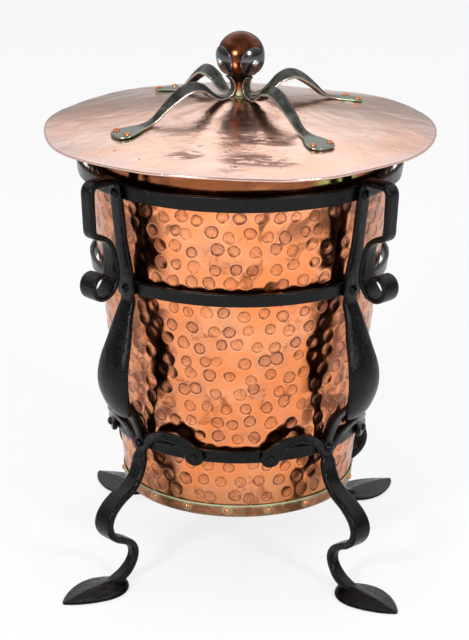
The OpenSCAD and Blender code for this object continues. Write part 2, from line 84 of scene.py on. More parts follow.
def flow(points, n=10):
    """A smooth line through rows of numbers, n steps between two rows."""
    p = np.array(points, float)
    out = []
    for i in range(len(p) - 1):
        a, b, c, d = p[max(i - 1, 0)], p[i], p[i + 1], p[min(i + 2, len(p) - 1)]
        for t in np.arange(n) / n:
            out.append(0.5 * (2 * b + (c - a) * t + (2 * a - 5 * b + 4 * c - d) * t * t
                              + (3 * b - 3 * c + d - a) * t ** 3))
    out.append(p[-1])
    return np.array(out)


def rounded(a, p, b, r, n=8):
    """A rounded corner at p between the lines to a and b."""
    a, p, b = (np.array(v, float) for v in (a, p, b))
    s = p + (a - p) * r / np.hypot(*(a - p)[:2])
    e = p + (b - p) * r / np.hypot(*(b - p)[:2])
    return [s * (1 - u) ** 2 + 2 * p * u * (1 - u) + e * u * u for u in np.arange(n + 1) / n]


def even(line, step):
    """The same line with its points about step apart."""
    line = np.array(line, float)
    d = np.r_[0, np.cumsum(np.linalg.norm(np.diff(line[:, :2], axis=0), axis=1))]
    t = np.linspace(0, d[-1], max(2, int(round(d[-1] / step)) + 1))
    return np.stack([np.interp(t, d, line[:, k]) for k in range(line.shape[1])], 1)


def follow(outline, x):
    """Half width at x of an outline given as rows of place and half width."""
    q = flow(outline)
    return np.interp(x, q[:, 0], q[:, 1])


def wobble(p, size, seed=0):
    """Even noise of about -1 to 1 at places p, in mm, with bumps of that size."""
    p = np.asarray(p, float) / size
    return np.array([noise.noise(Vector((x + seed * 7.3, y - seed * 3.1, z + seed))) for x, y, z in p])


# Meshes

def skin(rings, ends=True, loop=False):
    """Faces over rows of equal rings, each ring closed on itself."""
    n, m = len(rings), len(rings[0])
    i = np.arange(n if loop else n - 1)[:, None]
    k = np.arange(m)[None, :]
    j, l = (i + 1) % n, (k + 1) % m
    faces = np.stack([i * m + k, i * m + l, j * m + l, j * m + k], -1).reshape(-1, 4).tolist()
    if ends and not loop:
        faces.append(list(range(m))[::-1])
        faces.append([(n - 1) * m + q for q in range(m)])
    return np.asarray(rings, float).reshape(-1, 3), faces


def turn(p, angle):
    a = math.radians(angle)
    x, y = p[..., 0].copy(), p[..., 1].copy()
    out = np.array(p, float)
    out[..., 0] = x * math.cos(a) - y * math.sin(a)
    out[..., 1] = x * math.sin(a) + y * math.cos(a)
    return out


def make(name, parts, finish, marks=None, tidy=True):
    """One object from a list of (points in mm, faces)."""
    points, faces, start = [], [], 0
    for p, f in parts:
        points.append(np.asarray(p, float))
        faces += [[start + v for v in q] for q in f]
        start += len(p)
    mesh = bpy.data.meshes.new(name)
    mesh.from_pydata((np.concatenate(points) / 1000).tolist(), [], faces)
    for key, values in (marks or {}).items():
        mesh.attributes.new(key, "FLOAT", "POINT").data.foreach_set("value", np.asarray(values, np.float32))
    if tidy:
        b = bmesh.new()
        b.from_mesh(mesh)
        bmesh.ops.remove_doubles(b, verts=b.verts, dist=1e-6)
        bmesh.ops.recalc_face_normals(b, faces=b.faces)
        b.to_mesh(mesh)
        b.free()
    mesh.polygons.foreach_set("use_smooth", np.ones(len(mesh.polygons), bool))
    mesh.materials.append(finish)
    obj = bpy.data.objects.new(name, mesh)
    bpy.context.scene.collection.objects.link(obj)
    return obj


def settle(obj):
    """The object's modifiers become its plain mesh."""
    ev = obj.evaluated_get(bpy.context.evaluated_depsgraph_get())
    mesh = bpy.data.meshes.new_from_object(ev)
    old = obj.data
    obj.modifiers.clear()
    obj.data = mesh
    bpy.data.meshes.remove(old)
    return obj


def dress(obj, body, slot, *nodes):
    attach(obj, body)
    if nodes:
        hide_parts(*nodes)
    return obj


def bar(path, half, corner=1.5, boss=0, ridge=2.0, thin=1.0, across=9):
    """Rings of a forged bar: path rows are radius, height and thickness, half is its half width
    at each row, boss how far the middle of the outer face stands proud, thin its edge's share."""
    p = np.asarray(path, float)
    half = np.broadcast_to(half, len(p)).astype(float)
    boss = np.broadcast_to(boss, len(p)).astype(float)
    d = np.gradient(p[:, :2], axis=0)
    d /= np.linalg.norm(d, axis=1)[:, None]
    normal = np.stack([d[:, 1], -d[:, 0]], 1)
    rings = []
    for q, w, h, n, up in zip(p, half, p[:, 2] / 2, normal, boss):
        c = min(corner, h * 0.8, w * 0.6)
        arc = np.radians(np.arange(15, 90, 20))
        run = np.linspace(-1, 1, across) * (w - c)
        s, t = list(run), [h] * across
        s += list(w - c + c * np.sin(arc)); t += list(h - c + c * np.cos(arc))
        s += list(w - c + c * np.cos(arc)); t += list(-h + c - c * np.sin(arc))
        s += list(run[::-1]); t += [-h] * across
        s += list(-w + c - c * np.sin(arc)); t += list(-h + c - c * np.cos(arc))
        s += list(-w + c - c * np.cos(arc)); t += list(h - c + c * np.sin(arc))
        s, t = np.array(s), np.array(t)
        u = np.clip(np.abs(s) / w, 0, 1)
        t = t * (1 - (1 - thin) * u ** 3)
        t = np.where(t > 0, t + up * (1 - u ** ridge), t)
        rings.append(np.stack([q[0] + n[0] * t, s, q[1] + n[1] * t], 1))
    return blunt(np.array(rings), corner)


def blunt(rings, c):
    """Rounds the two ends of a run of rings."""
    def cap(end, inner):
        mid = end.mean(0)
        away = (mid - inner.mean(0)) / (np.linalg.norm(mid - inner.mean(0)) + 1e-9)
        size = np.linalg.norm(end - mid, axis=1).max()
        return [mid + (end - mid) * (1 - k * c / size) + away * (g * c - c * 0.6)
                for k, g in ((0.25, 0.45), (0.9, 0.6))]
    first, last = cap(rings[0], rings[1]), cap(rings[-1], rings[-2])
    return np.array([first[1], first[0]] + list(rings) + [last[0], last[1]])


def lathe(profile, steps, closed=True):
    """Rings of a turned piece round Z; a closed profile makes a hollow ring."""
    p = np.asarray(profile, float)
    a = np.radians(np.arange(steps) * 360 / steps)
    rings = np.stack([p[None, :, 0] * np.cos(a)[:, None], p[None, :, 0] * np.sin(a)[:, None],
                      np.broadcast_to(p[None, :, 1], (steps, len(p)))], -1)
    if closed:
        return skin(rings, loop=True)
    return skin(rings.transpose(1, 0, 2))


def round_corners(corners, r, n=3):
    """A closed outline with each corner rounded by r, or by its own third value."""
    out = []
    for i, q in enumerate(corners):
        a, b = corners[i - 1], corners[(i + 1) % len(corners)]
        k = q[2] if len(q) > 2 else r
        out += [v[:2] for v in rounded(a[:2], q[:2], b[:2], k, n)]
    return np.array(out)


# Finishes

class Wire:
    """A socket that sums can be written with."""

    def __init__(self, finish, socket):
        self.finish, self.socket = finish, socket

    def __add__(self, other):
        return self.finish.sum("ADD", self, other)

    def __sub__(self, other):
        return self.finish.sum("SUBTRACT", self, other)

    def __rsub__(self, other):
        return self.finish.sum("SUBTRACT", other, self)

    def __mul__(self, other):
        return self.finish.sum("MULTIPLY", self, other)

    def __truediv__(self, other):
        return self.finish.sum("DIVIDE", self, other)

    def __pow__(self, other):
        return self.finish.sum("POWER", self, other)

    __radd__, __rmul__ = __add__, __mul__


class Finish:
    """A procedural material in the object's own coordinates, in metres."""

    def __init__(self, name, **shader):
        self.material = bpy.data.materials.new(name)
        self.material.use_nodes = True
        self.tree = self.material.node_tree
        self.shader = next(n for n in self.tree.nodes if n.type == "BSDF_PRINCIPLED")
        for key, value in shader.items():
            self.shader.inputs[key.replace("_", " ")].default_value = value
        self.place = self.node("ShaderNodeTexCoord", out="Object")
        parts = self.node("ShaderNodeSeparateXYZ", inputs={0: self.place}, out=None)
        self.x, self.y, self.z = (Wire(self, parts.outputs[k]) for k in range(3))

    def node(self, kind, settings=None, inputs=None, out=0):
        n = self.tree.nodes.new(kind)
        for key, value in (settings or {}).items():
            if key == "stops":
                ramp = n.color_ramp.elements
                while len(ramp) < len(value):
                    ramp.new(0.5)
                for e, (at, colour) in zip(ramp, value):
                    e.position, e.color = at, (*colour, 1)
            else:
                setattr(n, key, value)
        for key, value in (inputs or {}).items():
            if isinstance(value, Wire):
                self.tree.links.new(value.socket, n.inputs[key])
            else:
                n.inputs[key].default_value = value
        return n if out is None else Wire(self, n.outputs[out])

    def sum(self, kind, a, b=0.0, c=0.0):
        return self.node("ShaderNodeMath", {"operation": kind}, {0: a, 1: b, 2: c})

    def mix(self, amount, a, b, kind="MIX"):
        """Colours a and b, b by that amount."""
        a, b = ((*v, 1) if isinstance(v, tuple) else v for v in (a, b))
        return self.node("ShaderNodeMix", {"data_type": "RGBA", "blend_type": kind, "clamp_factor": True},
                         {0: amount, 6: a, 7: b}, out=2)

    def cloud(self, size, detail=3.0, rough=0.55, warp=0.0, place=None, stretch=None):
        """Noise of 0 to 1 with patches of that size in mm."""
        at = place or self.place
        if stretch:
            at = self.node("ShaderNodeMapping", None, {0: at, 3: stretch})
        return self.node("ShaderNodeTexNoise", None, {"Vector": at, "Scale": 1000 / size, "Detail": detail,
                                                      "Roughness": rough, "Distortion": warp})

    def between(self, value, low, high, bottom=0.0, top=1.0):
        """value from low to high eased onto bottom to top."""
        return self.node("ShaderNodeMapRange", {"interpolation_type": "SMOOTHSTEP"},
                         {0: value, 1: low, 2: high, 3: bottom, 4: top})

    def mark(self, name):
        return self.node("ShaderNodeAttribute", {"attribute_name": name}, out="Fac")

    def finish(self, colour=None, rough=None, metal=None, height=None, depth=0.3, coat=None):
        """Ends the material; height is in units of depth, in mm."""
        links, put = self.tree.links, self.shader.inputs
        for value, key in ((colour, "Base Color"), (rough, "Roughness"), (metal, "Metallic"),
                           (coat, "Coat Weight")):
            if isinstance(value, Wire):
                links.new(value.socket, put[key])
            elif value is not None:
                put[key].default_value = (*value, 1) if isinstance(value, tuple) else value
        if height is not None:
            bump = self.node("ShaderNodeBump", None,
                             {"Strength": 1.0, "Distance": depth / 1000, "Height": height})
            links.new(bump.socket, put["Normal"])
        return self.material


def iron_finish(name, gloss=0.15):
    f = Finish(name, Metallic=0.0, Specular_IOR_Level=0.18)
    dapple = f.cloud(9, 3, 0.6)
    grain = f.cloud(2.2, 4, 0.7)
    pits = f.between(f.cloud(5, 2, 0.5, 0.6), 0.66, 0.78)
    worn = f.between(f.cloud(38, 4, 0.65), 0.56, 0.75)
    colour = f.mix(worn, (0.0008, 0.0009, 0.0012), (0.003, 0.0031, 0.0035))
    colour = f.mix(pits * 0.6, colour, (0.03, 0.019, 0.014))
    rough = dapple * 0.14 + gloss + worn * 0.1 - 0.1
    return f.finish(colour, rough, height=dapple + grain * 0.55 - pits * 0.8, depth=0.8)


def hammered_copper():
    f = Finish("hammered copper", Metallic=1.0)
    d, tone = f.mark("dent"), f.mark("tone")
    drift = f.cloud(70, 3, 0.6, 0.4)
    blotches = f.cloud(34, 5, 0.68, 0.8)
    speck = f.cloud(3.2, 3, 0.7)
    angle = f.sum("ARCTAN2", f.y, f.x)
    colour = f.mix(f.between(drift, 0.35, 0.68), (0.86, 0.27, 0.095), (0.88, 0.36, 0.18))
    # Partly tarnish and partly painted dark reflection: brown patches standing for dark surroundings mirrored in the
    # wall.
    colour = f.mix(f.between(blotches, 0.55, 0.68) * 0.8, colour, (0.3, 0.085, 0.03))
    # Painted reflection: the wall is darkened beside each upright, standing for the upright mirrored in the copper.
    quarter = f.sum("PINGPONG", angle + math.pi / 4, math.pi / 4)
    painted_strap_reflection = f.between(quarter, 0.34, 0.2) * f.between(f.cloud(30, 3, 0.6, 0.9), 0.4, 0.56)
    colour = f.mix(painted_strap_reflection * 0.85, colour, (0.085, 0.022, 0.01))
    # Painted shade: the wall is darkened towards its left and right sides along x, mixed with a random tone share.
    side = f.between(f.sum("ABSOLUTE", f.x), 0.085, 0.15)
    colour = f.mix(side * 0.3 + f.between(tone, 0.62, 1.0) * 0.3, colour, (0.42, 0.22, 0.16))
    low = f.between(f.z + blotches * 0.06, 0.175, 0.12)
    colour = f.mix(low * 0.6, colour, (0.36, 0.15, 0.05))
    # Painted shade in the hammer marks: each bowl and the ring round its inner edge are darkened.
    inside = f.between(d, 1.02, 0.92)
    broken = f.between(f.cloud(6, 2, 0.6), 0.3, 0.6)
    rim = f.between(d, 0.66, 0.84) * f.between(d, 1.06, 0.97)
    colour = f.mix(inside * (0.12 + tone * 0.22), colour, (0.36, 0.12, 0.06))
    colour = f.mix(inside * f.between(f.cloud(3.4, 3, 0.7), 0.5, 0.66) * 0.55, colour, (0.26, 0.085, 0.05))
    colour = f.mix(rim * (0.2 + broken * 0.75) * (0.45 + tone * 0.55), colour, (0.11, 0.032, 0.018))
    # Painted highlight: a pale, broken ring on the raised lip round each hammer mark.
    painted_lip_highlight = f.between(d, 1.2, 1.1) * f.between(d, 1.01, 1.06)
    colour = f.mix(painted_lip_highlight * broken * 0.35, colour, (1.0, 0.5, 0.28))
    shade = f.between(f.z, 0.395, 0.425) * f.between(f.cloud(42, 3, 0.55, 0.7), 0.54, 0.6)
    colour = f.mix(shade * 0.75, colour, (0.12, 0.045, 0.02))
    # Painted shade and reflection: the band just under the lid is darkened, standing for the lid's dark underside
    # mirrored there.
    collar = f.between(f.z, 0.459, 0.464)
    under_lid_shade_streaks = f.between(f.cloud(45, 3, 0.5, stretch=(1, 1, 3)), 0.4, 0.66)
    under_lid_shade_colour = f.mix(under_lid_shade_streaks, (0.1, 0.03, 0.012), (0.34, 0.11, 0.045))
    colour = f.mix(collar * 0.85, colour, under_lid_shade_colour)
    bloom = f.between(f.sum("ABSOLUTE", angle + 0.93), 0.2, 0.08) * collar
    colour = f.mix(bloom * f.between(f.cloud(16, 3, 0.6), 0.35, 0.55), colour, (0.33, 0.36, 0.12))
    colour = f.mix(speck * 0.12, colour, (0.25, 0.1, 0.05))
    rough = 0.06 + blotches * 0.1 + low * 0.1 + speck * 0.05 + inside * 0.07
    return f.finish(colour, rough, height=speck * 0.35 + f.cloud(12, 2) * 0.8, depth=0.16)


# Dark spots on the lid's front, partly rubbed wear and partly a painted dark reflection of the handle: middle, half
# width and half depth, in metres
SCUFF_AND_REFLECTION_SPOTS = ((0.02, -0.165, 0.046, 0.017), (-0.056, -0.152, 0.022, 0.012), (0.03, -0.12, 0.03, 0.012))


def lid_copper():
    f = Finish("lid copper", Metallic=1.0)
    level = f.node("ShaderNodeVectorMath", {"operation": "MULTIPLY"}, {0: f.place, 1: (1, 1, 0)})
    r = f.node("ShaderNodeVectorMath", {"operation": "LENGTH"}, {0: level}, out="Value")
    drift = f.cloud(90, 4, 0.6, 0.5)
    scuff = f.cloud(26, 5, 0.72, 1.2)
    strokes = f.cloud(7, 3, 0.6, 0.3)
    colour = f.mix(f.between(drift, 0.36, 0.66), (0.88, 0.5, 0.37), (0.9, 0.62, 0.51))
    colour = f.mix(f.between(scuff, 0.62, 0.76) * 0.6, colour, (0.36, 0.19, 0.13))
    edge = f.between(r + drift * 0.02, 0.196, 0.222)
    colour = f.mix(edge * 0.5, colour, (0.62, 0.5, 0.5))
    # Painted shade and dark reflection round the foot of the handle.
    colour = f.mix(f.between(r, 0.034, 0.016) * 0.7, colour, (0.34, 0.22, 0.13))
    # Painted shade: faces that look downward, such as the under-edge of the turned rim, are darkened.
    facing = f.node("ShaderNodeSeparateXYZ", None, {0: f.node("ShaderNodeNewGeometry", out="Normal")}, out=2)
    under = f.between(facing, -0.1, -0.5)
    colour = f.mix(under, colour, (0.42, 0.16, 0.075))
    streaks = f.cloud(9, 5, 0.72, 0.5, stretch=(0.32, 1.3, 1))
    # Painted reflection: dark streaky spots where the handle is mirrored in the lid's front, partly rubbed wear.
    for x, y, wide, deep in SCUFF_AND_REFLECTION_SPOTS:
        dx, dy = (f.x - x) / wide, (f.y - y) / deep
        spot = f.between(dx * dx + dy * dy, 1.15, 0.35)
        colour = f.mix(spot * f.between(streaks, 0.44, 0.5) * 0.9, colour, (0.2, 0.085, 0.055))
    pits = f.between(f.cloud(8, 1, 0.4), 0.74, 0.78)
    colour = f.mix(pits * 0.8, colour, (0.14, 0.07, 0.05))
    # Painted dark reflection of the handle in the lid round it.
    near = f.between(r, 0.12, 0.05) * f.between(f.cloud(40, 3, 0.6, 0.8), 0.4, 0.58)
    colour = f.mix(near * 0.6, colour, (0.4, 0.17, 0.1))
    rough = 0.12 + scuff * 0.14 + under * 0.1
    return f.finish(colour, rough, height=strokes + scuff * 0.8, depth=0.3)


def dark_copper():
    f = Finish("dark copper", Metallic=1.0)
    drift = f.cloud(14, 3, 0.6, 0.4)
    height = f.between(f.z, 0.527, 0.555)
    colour = f.mix(f.between(drift, 0.35, 0.7), (0.07, 0.022, 0.01), (0.17, 0.055, 0.025))
    # Painted shade: the underside of the ball and the neck are darkened.
    colour = f.mix(f.between(f.z, 0.556, 0.542), colour, (0.035, 0.016, 0.011))
    colour = f.mix(f.between(f.z, 0.54, 0.53) * f.between(drift, 0.3, 0.6), colour, (0.36, 0.14, 0.05))
    colour = f.mix(f.between(f.z, 0.53, 0.5245), colour, (0.36, 0.35, 0.19))
    rough = 0.5 - height * 0.34 + drift * 0.06
    return f.finish(colour, rough, height=drift, depth=0.12)


def plain_copper(name, bright, dull, gloss=0.22):
    f = Finish(name, Metallic=1.0)
    drift = f.cloud(4, 3, 0.6)
    colour = f.mix(f.between(drift, 0.35, 0.68), bright, dull)
    return f.finish(colour, drift * 0.16 + gloss, height=drift, depth=0.08)


def pan_copper():
    f = Finish("pan copper", Metallic=1.0)
    blotches = f.cloud(16, 5, 0.7, 0.6)
    line = f.between(f.z + blotches * 0.004, 0.0975, 0.1008)
    low = f.between(f.z, 0.0885, 0.0855)
    rust = f.between(blotches, 0.42, 0.6)
    colour = f.mix(rust, (0.22, 0.09, 0.045), (0.4, 0.17, 0.085))
    colour = f.mix(f.between(f.cloud(9, 3), 0.56, 0.68) * 0.6, colour, (0.2, 0.2, 0.11))
    colour = f.mix(line * 0.85 + low * 0.3, colour, (0.36, 0.43, 0.27))
    crust = line * 0.7 + f.mark("halo") * 0.6
    colour = f.mix(f.mark("halo"), colour, (0.42, 0.5, 0.33))
    return f.finish(colour, 0.34 + crust * 0.3, metal=1 - crust * 0.8, height=blotches + crust, depth=0.2)


def crust_copper():
    f = Finish("verdigris crust", Metallic=0.3)
    lump = f.cloud(3, 4, 0.7)
    colour = f.mix(f.between(lump, 0.4, 0.62), (0.09, 0.085, 0.035), (0.42, 0.43, 0.22))
    return f.finish(colour, 0.7, height=lump, depth=0.7)


def strip_steel():
    f = Finish("strip steel", Metallic=1.0)
    edge = f.between(f.mark("edge"), 0.86, 0.97)
    drift = f.cloud(12, 4, 0.65, 0.5)
    brush = f.cloud(2.6, 4, 0.7)
    colour = f.mix(f.between(drift, 0.35, 0.68), (0.045, 0.046, 0.041), (0.13, 0.13, 0.118))
    colour = f.mix(edge, colour, (0.6, 0.52, 0.44))
    pad = f.between(f.mark("along"), 0.8, 0.86)
    colour = f.mix(pad * 0.8, colour, (0.27, 0.29, 0.26))
    rim = f.between(f.mark("edge"), 0.93, 0.99) * pad
    colour = f.mix(rim * f.between(drift, 0.3, 0.5), colour, (0.24, 0.42, 0.28))
    rough = 0.34 - edge * 0.16 + drift * 0.14 + pad * 0.08
    return f.finish(colour, rough, height=brush * 0.4 + drift, depth=0.18)


def polished_steel(name, colour=(0.5, 0.51, 0.52), gloss=0.12):
    f = Finish(name, Metallic=1.0)
    drift = f.cloud(6, 3, 0.6)
    mottled = f.mix(drift * 0.5, colour, tuple(0.6 * c for c in colour))
    return f.finish(mottled, drift * 0.1 + gloss, height=drift, depth=0.05)


IRON = iron_finish("black iron")
COPPER = hammered_copper()
LID = lid_copper()
HEAD = dark_copper()
PAN = pan_copper()
CRUST = crust_copper()
STRIP = strip_steel()
EYE = polished_steel("eye steel", (0.13, 0.13, 0.135), 0.12)
STUD = polished_steel("stud steel", (0.75, 0.75, 0.74), 0.06)
PLAIN = polished_steel("rod steel", (0.42, 0.42, 0.43), 0.3)
RIVET_COPPER = plain_copper("rivet copper", (0.78, 0.3, 0.13), (0.5, 0.16, 0.07), 0.14)
AGED = plain_copper("aged copper", (0.5, 0.21, 0.1), (0.3, 0.13, 0.07))


# Cradle: hoops

def hoop(node, z, h, inner=None):
    low, high = z - h / 2, z + h / 2
    inside = inner or (lambda q: cradle_r(q) - HOOP_T)
    outline = round_corners([(inside(low), low), (cradle_r(low), low),
                             (cradle_r(high), high), (inside(high), high)], 1.3, 4)
    fine = even(np.r_[outline, outline[:1]], 2.0)[:-1]
    points, faces = lathe(fine, 300)
    away = np.stack([points[:, 0], points[:, 1], 0 * points[:, 2]], 1)
    away /= np.linalg.norm(away, axis=1)[:, None]
    outer = np.clip((np.linalg.norm(points[:, :2], axis=1) - inside(points[:, 2])) / HOOP_T, 0, 1)[:, None]
    points = points + away * (wobble(points, 16, 2)[:, None] * 0.35 - 0.2) * outer
    dress(make("ring_" + node, [(points, faces)], IRON), "stand", "black_iron", node)


hoop("hoop_top", HOOP_TOP_Z, 17)
hoop("hoop_middle", HOOP_MID_Z, 15)
hoop("hoop_bottom", HOOP_LOW_Z, 15, lambda q: bin_r(q) + 0.3)


# Cradle: uprights with leaf, loop and scroll

def upright_path():
    return flow([[174.5, 203, 5], [180.5, 215, 5.5], [185.8, 232, 6], [187.2, 248, 6], [184.6, 265, 6],
                 [177.6, 287, 6.2], [170.4, 312, BAR_T], [bar_r(327, BAR_T) + 0.35, 327, BAR_T],
                 [bar_r(335, BAR_T), 335, BAR_T]], 8)


def loop_path():
    top, out = 467.3 - LOOP_T / 2, 222.5 - LOOP_T / 2
    start = (bar_r(450, BAR_T), 450, BAR_T)
    knee = (bar_r(top, BAR_T), top, BAR_T + 0.5)
    shoulder, elbow = (out, top, LOOP_T), (out - 2.8, 409.5, LOOP_T - 1)
    line = [start] + rounded(start, knee, shoulder, 9) + rounded(knee, shoulder, elbow, 10)
    line += rounded(shoulder, elbow, (201.5, 404.8, 6), 6)
    curl = flow([[207.5, 407, 6.4], [200, 403.8, 6], [192, 396.3, 5.8], [188.2, 383, 5.6], [187, 367, 5.4],
                 [189, 354, 5.2], [196.5, 344.6, 5], [208, 341.2, 5], [216.6, 345.6, 5], [219.6, 355, 5],
                 [215.8, 363.4, 5], [207.6, 366.2, 4.8], [200.4, 362.2, 4.4]], 8)
    return np.concatenate([line, curl])


def upright(corner, angle, seed):
    low = even(upright_path(), 2.2)
    run = even(np.r_[low[-1:], loop_path()], 2.0)[1:]
    wide = follow([[198, 11.2], [203.5, 13], [212, 17.2], [228, 20.9], [246, 22], [264, 20.9], [288, 16.7],
                   [312, 11.9], [332, 8.75], [342, BAR_W / 2], [460, BAR_W / 2]], low[:, 1])
    curl = follow([[330, 11.5], [362, 11.5], [374, 10.3], [396, BAR_W / 2], [410, BAR_W / 2], [480, BAR_W / 2]],
                  run[:, 1])
    path = np.r_[low, run]
    half = np.r_[wide, curl]
    spot = np.stack([path[:, 0], 0 * path[:, 0], path[:, 1]], 1)
    half = half * (1 + 0.02 * wobble(spot, 22, seed))
    path[:, 2] *= 1 + 0.03 * wobble(spot, 18, seed + 5)
    boss = np.r_[np.clip((wide - 8) / 14, 0, 1) * 4.2, 0 * curl]
    rings = bar(path, half, 1.6, boss, 2.2, 0.86)
    points, faces = skin(rings)
    points = turn(points, angle)
    dress(make("strap_" + corner, [(points, faces)], IRON), "stand", "black_iron", "upright_" + corner)


for seed, (corner, angle) in enumerate(CORNERS.items()):
    upright(corner, angle, seed)


# Cradle: legs with prongs and leaf feet

def lap():
    """Middle line of the prong's tip along the back of the leaf."""
    p = flow([[174.5, 203, 5], [180.5, 215, 5.5], [185.8, 232, 6], [187.2, 248, 6]], 4)
    d = np.gradient(p[:, :2], axis=0)
    d /= np.linalg.norm(d, axis=1)[:, None]
    back = p[:, :2] + np.stack([-d[:, 1], d[:, 0]], 1) * (p[:, 2:] / 2 + 2 + 0.2)
    return [[*back[i], 4] for i in (7, 6, 5, 4)]


LEG_HIGH = [[171, 211.5, 4.8], [163, 203.5, 5.4], [155.6, 194.5, 5.8], [150.2, 184, 6], [146.3, 174, 6],
            [bar_r(168, 6), 168, 6]]
LEG = [[bar_r(151, 6), 151, 6], [143.8, 142.5, 6.6], [147, 130, 7], [152.8, 118.6, 7.4],
       [163, 109.2, 8], [176.5, 102, 8.5], [189, 91.8, 8.5], [195, 79.5, 8.5], [193, 68, 8.5], [184.5, 59, 8.2],
       [172.5, 53, 8], [161.6, 46.4, 8], [155.6, 37.6, 8], [155.6, 27.8, 8], [161, 18, 8], [170, 10.6, 7.5],
       [184, 5.4, 6]]
LEG_HALF = [[0.2, 8.75], [12, 7.75], [24, 6.75], [40, 6.75], [52, 9.25], [64, 11.5], [78, 12.5], [94, 12],
            [106, 11.1], [118, 10.1], [132, 9.9], [143, 9.7], [150, 6.35], [170, 5.75], [200, 6.35], [236, 5.75]]
BRANCH = [[-35.8, 141, 9], [-32.6, 149, 9.5], [-25.5, 160.5, 10], [-15, 171, 10.5], [-1, 177.6, 11.5],
          [13, 178.4, 13.5], [26, 172.4, 16],
          [math.tan(math.radians(DISC_A / 2)) * cradle_r(HOOP_LOW_Z), HOOP_LOW_Z, 18]]
FOOT = [[167, 4], [170, 10.5], [178.5, 19.4], [190, 25.4], [204, 27], [220, 23.2], [236, 15.7],
        [248, 7], [254, 0.8]]


def shank():
    path = even(np.r_[lap()[:3], flow([lap()[3]] + LEG_HIGH, 8), flow(LEG, 8)], 2.0)
    return skin(bar(path, follow(LEG_HALF, path[:, 1]), 2.2))


def lean(z):
    """Radius of the back of a side prong at height z."""
    z = np.asarray(z, float)
    at = [128, 169, 180, 192]
    return np.interp(z, at, [cradle_r(128) + 0.05, cradle_r(169) + 0.05, cradle_r(180) + 3.5, cradle_r(192) + 9])


def side_prong(side):
    """A prong that arches along the cradle and ends in a round disc."""
    p = even(flow(BRANCH, 10), 2.0)
    d = np.gradient(p[:, :2], axis=0)
    d /= np.linalg.norm(d, axis=1)[:, None]
    rings = []
    for q, e in zip(p, d):
        w, c = q[2] / 2, 1.8
        s = np.array([-w + c, 0, w - c, w - 0.4, w, w - 0.4, w - c, 0, -w + c, -w + 0.4, -w, -w + 0.4])
        t = np.array([6, 6, 6, 5.5, 3, 0.5, 0, 0, 0, 0.5, 3, 5.5])
        x, z = q[0] - e[1] * s, q[1] + e[0] * s
        r = lean(z) + t
        a = np.arcsin(np.clip(x / r, -0.9, 0.9)) + math.radians(DISC_A / 2)
        rings.append(np.stack([r * np.cos(a), r * np.sin(a) * side, z], 1))
    points, faces = skin(np.array(rings))
    outline = [(0.01, 0.1), (10.2, 0.1), (11, 1), (11, 4.8), (10, 6), (0.01, 6)]
    disc, disc_faces = lathe(outline, 40, closed=False)
    tilt = math.atan(CRADLE_FLARE)
    x, y, h = disc[:, 0], disc[:, 1], disc[:, 2]
    local = np.stack([cradle_r(HOOP_LOW_Z) + h * math.cos(tilt) + x * math.sin(tilt), y,
                      HOOP_LOW_Z - h * math.sin(tilt) + x * math.cos(tilt)], 1)
    return [(points, faces), (turn(local, DISC_A * side), disc_faces)]


def leaf_foot():
    """The leaf that stands on the floor, ridged along its middle."""
    rings = []
    for r in np.linspace(167.5, 253.6, 44):
        w = max(follow(FOOT, r), 0.6)
        ridge = np.interp(r, [150, 176, 222, 254], [9.2, 8.8, 7.2, 2.4])
        edge = np.interp(r, [167, 220, 254], [3.0, 2.6, 1.6])
        u = np.linspace(-1, 1, 21)
        top = edge + (ridge - edge) * (1 - np.abs(u)) ** 1.25
        s = np.r_[u * w, w + 0.5, w * 0.97, 0, -w * 0.97, -w - 0.5]
        z = np.r_[top, edge * 0.5, 0, 0, 0, edge * 0.5]
        rings.append(np.stack([np.full(len(s), r), s, z], 1))
    return skin(np.array(rings))


def leg(corner, angle, seed):
    parts = [shank(), leaf_foot()] + side_prong(1) + side_prong(-1)
    obj = make("trident_" + corner, parts, IRON)
    remesh = obj.modifiers.new("weld", "REMESH")
    remesh.mode, remesh.voxel_size, remesh.use_smooth_shade = "VOXEL", 0.00115, True
    soft = obj.modifiers.new("file smooth", "SMOOTH")
    soft.factor, soft.iterations = 0.5, 5
    settle(obj)
    mesh = obj.data
    co = np.zeros(len(mesh.vertices) * 3)
    mesh.vertices.foreach_get("co", co)
    co = co.reshape(-1, 3) * 1000
    turned = turn(co, angle + LEG_TURN)
    free = np.clip(co[:, 2] / 12, 0, 1) * np.clip((150 - co[:, 2]) / 12, 0, 1)
    turned[:, 0] += wobble(turned, 24, seed) * 0.5 * free
    turned[:, 1] += wobble(turned, 24, seed + 9) * 0.5 * free
    turned[:, 2] = np.maximum(turned[:, 2], 0)
    mesh.vertices.foreach_set("co", (turned / 1000).ravel())
    mesh.update()
    dress(obj, "stand", "black_iron", "leg_" + corner)


for seed, (corner, angle) in enumerate(CORNERS.items()):
    leg(corner, angle, seed + 11)


# Rivets, set on points that carry the way each one faces

